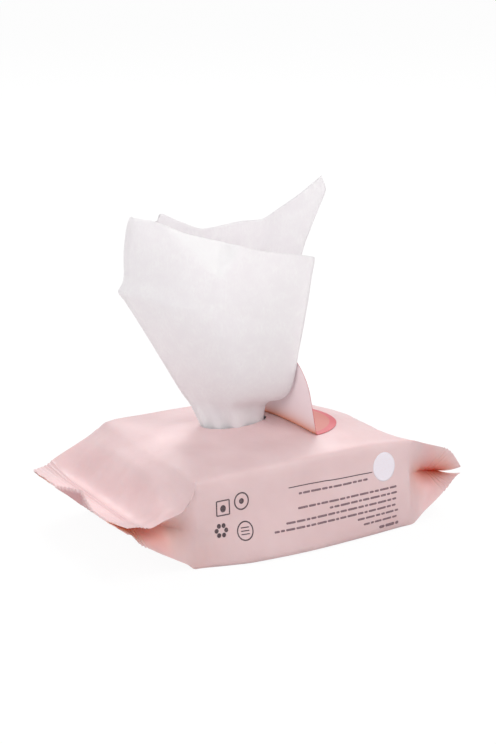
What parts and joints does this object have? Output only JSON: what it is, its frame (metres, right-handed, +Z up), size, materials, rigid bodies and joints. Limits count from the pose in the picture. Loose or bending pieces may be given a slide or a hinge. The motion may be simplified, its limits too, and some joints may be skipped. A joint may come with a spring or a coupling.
{
  "type": "wet wipes pack",
  "caption": "Soft gusseted film pack of wet wipes with a peeled reseal label and a folded wipe drawn up through its opening.",
  "frame": {"origin": "on the surface the pack lies on, under the middle of its length and width", "axes": "+X along the pack from its left crimped end to its right one, +Y from its near side to its far side, +Z up"},
  "size_m": [0.19, 0.102, 0.1722],
  "materials": {
    "printed_film": "matt pink polyolefin film",
    "label_film": "satin coral label film",
    "nonwoven": "moist white spunlace nonwoven"
  },
  "bodies": {
    "root": {"film_wrapper": "printed_film", "reseal_label": "label_film", "wipe_stack": "nonwoven", "pulled_wipe": "nonwoven"}
  },
  "joints": []
}
